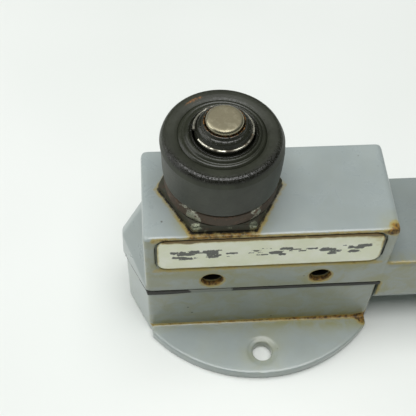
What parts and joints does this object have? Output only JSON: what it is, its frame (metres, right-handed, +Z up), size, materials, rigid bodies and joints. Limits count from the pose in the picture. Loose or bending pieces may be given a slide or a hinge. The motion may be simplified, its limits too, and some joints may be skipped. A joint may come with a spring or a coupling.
{
  "type": "limit switch",
  "caption": "Enclosed die-cast limit switch with a sealed top plunger, a screw-fixed mounting flange and a conduit hub, holding a snap-action basic switch.",
  "frame": {"origin": "middle of the flat mounting face under the base, on the line between the two flange holes", "axes": "+X towards the conduit hub, -Y towards the nameplate, +Z up along the plunger, away from the mounting face"},
  "size_m": [0.0969, 0.0606, 0.0754],
  "materials": {
    "grey_paint": "worn gloss grey enamel on a die casting",
    "cream_plate": "aged cream nameplate, stained and smudged",
    "black_rubber": "dusty black moulded rubber",
    "gasket_rubber": "dull dark gasket",
    "plated_steel": "worn plated steel",
    "rusty_steel": "greasy brown rusted steel, worn bright in spots",
    "spring_steel": "bright spring steel",
    "brass": "satin brass",
    "contact_silver": "contact silver",
    "phenolic": "dark moulded phenolic",
    "button_plastic": "red moulded plastic",
    "ground_green": "green lacquered screw",
    "fibre_paper": "insulating fibre sheet"
  },
  "bodies": {
    "housing": {"housing": "grey_paint", "base_cover": "grey_paint", "housing_gasket": "gasket_rubber", "nameplate": "cream_plate", "plunger_bushing": "rusty_steel", "boot_clamp_ring": "rusty_steel", "bushing_seal": "gasket_rubber", "bushing_locknut": "plated_steel", "boot": "black_rubber", "boot_bellows": "black_rubber", "spring_retainer": "plated_steel", "retainer_clip": "spring_steel", "return_spring": "spring_steel", "overtravel_spring": "spring_steel", "switch_case": "phenolic", "switch_cover": "phenolic", "normally_open_contact": "contact_silver", "normally_closed_contact": "contact_silver", "common_terminal": "brass", "normally_open_terminal": "brass", "normally_closed_terminal": "brass", "switch_bracket": "plated_steel", "insulating_liner": "fibre_paper", "cover_screw_left": "plated_steel", "cover_screw_front": "plated_steel", "cover_screw_back": "plated_steel", "bracket_screw_left": "plated_steel", "bracket_screw_right": "plated_steel", "switch_screw_left": "plated_steel", "switch_screw_right": "plated_steel", "terminal_screw_common": "brass", "terminal_screw_normally_open": "brass", "terminal_screw_normally_closed": "brass", "ground_screw": "ground_green"},
    "plunger": {"plunger": "plated_steel", "snap_ring": "spring_steel", "boot_collar": "black_rubber"},
    "drive_pin": {"drive_pin": "brass"},
    "button": {"switch_button": "button_plastic"},
    "blade": {"snap_blade": "brass", "moving_contact": "contact_silver"}
  },
  "joints": [
    {"name": "plunger_press", "type": "slide", "parent": "housing", "child": "plunger", "axis": [0, 0, -1], "range_m": [0, 0.005], "stiffness_N_per_m": 900, "springref_m": -0.005, "deforming": ["boot_bellows", "return_spring", "overtravel_spring"]},
    {"name": "drive_pin_press", "type": "slide", "parent": "housing", "child": "drive_pin", "axis": [0, 0, -1], "range_m": [0, 0.00035]},
    {"name": "button_press", "type": "slide", "parent": "housing", "child": "button", "axis": [0, 0, -1], "range_m": [0, 0.00035]},
    {"name": "blade_snap", "type": "hinge", "parent": "housing", "child": "blade", "pos_m": [-0.0225, 0, 0.0164], "axis": [0, 1, 0], "range_deg": [0, 1.9]}
  ],
  "couplings": [
    {"joint": "drive_pin_press", "follows": "plunger_press", "ratio": 0.07},
    {"joint": "button_press", "follows": "plunger_press", "ratio": 0.07},
    {"joint": "blade_snap", "follows": "plunger_press", "rad_per_m": 6.6}
  ]
}
